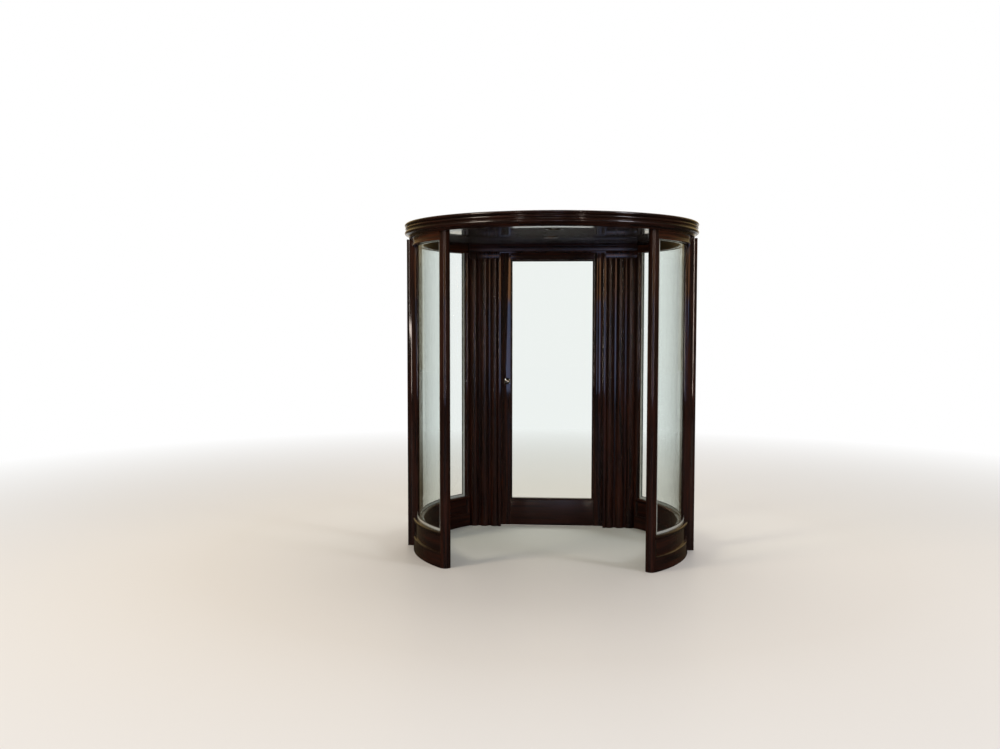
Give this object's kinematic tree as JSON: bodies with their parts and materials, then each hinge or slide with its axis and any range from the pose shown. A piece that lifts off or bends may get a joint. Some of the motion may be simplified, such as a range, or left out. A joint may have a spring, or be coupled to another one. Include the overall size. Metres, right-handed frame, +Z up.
{
  "type": "revolving door drum with a hinged leaf",
  "caption": "Round timber entrance drum with curved glass walls, a moulded canopy ring, an open inner throat and a glazed leaf hung between reeded jambs in the outer throat.",
  "frame": {"origin": "on the floor at the drum's axis", "axes": "+Z up, +Y outwards through the leaf, +X to the right seen from inside"},
  "size_m": [2.108, 2.108, 2.347],
  "materials": {
    "mahogany": "dark stained mahogany, gloss varnish",
    "glass": "clear, curved or flat",
    "polished_steel": "polished",
    "bronze": "dark patinated bronze"
  },
  "bodies": {
    "drum": {"roof_board": "mahogany", "cornice": "mahogany", "ceiling": "mahogany", "left_side_post": "mahogany", "right_side_post": "mahogany", "left_jamb": "mahogany", "right_jamb": "mahogany", "doorway_head": "mahogany", "door_stops": "mahogany", "front_left_post": "mahogany", "front_left_kick": "mahogany", "front_left_cap": "mahogany", "front_left_head_rail": "mahogany", "front_left_glass": "glass", "front_left_channel": "polished_steel", "front_right_post": "mahogany", "front_right_kick": "mahogany", "front_right_cap": "mahogany", "front_right_head_rail": "mahogany", "front_right_glass": "glass", "front_right_channel": "polished_steel", "rear_left_post": "mahogany", "rear_left_kick": "mahogany", "rear_left_cap": "mahogany", "rear_left_head_rail": "mahogany", "rear_left_glass": "glass", "rear_left_channel": "polished_steel", "rear_right_post": "mahogany", "rear_right_kick": "mahogany", "rear_right_cap": "mahogany", "rear_right_head_rail": "mahogany", "rear_right_glass": "glass", "rear_right_channel": "polished_steel", "strike_plate": "polished_steel", "ceiling_light": "bronze", "bearing_plate": "bronze", "jamb_hinges": "bronze"},
    "leaf": {"leaf_lock_stile": "mahogany", "leaf_hinge_stile": "mahogany", "leaf_top_rail": "mahogany", "leaf_bottom_rail": "mahogany", "leaf_pane": "glass", "leaf_beads": "mahogany", "leaf_hinges": "bronze", "leaf_lock": "polished_steel"}
  },
  "joints": [
    {"name": "leaf_swing", "type": "hinge", "parent": "drum", "child": "leaf", "pos_m": [0.4175, 0.7061, 0], "axis": [0, 0, -1], "range_deg": [0, 90]}
  ]
}
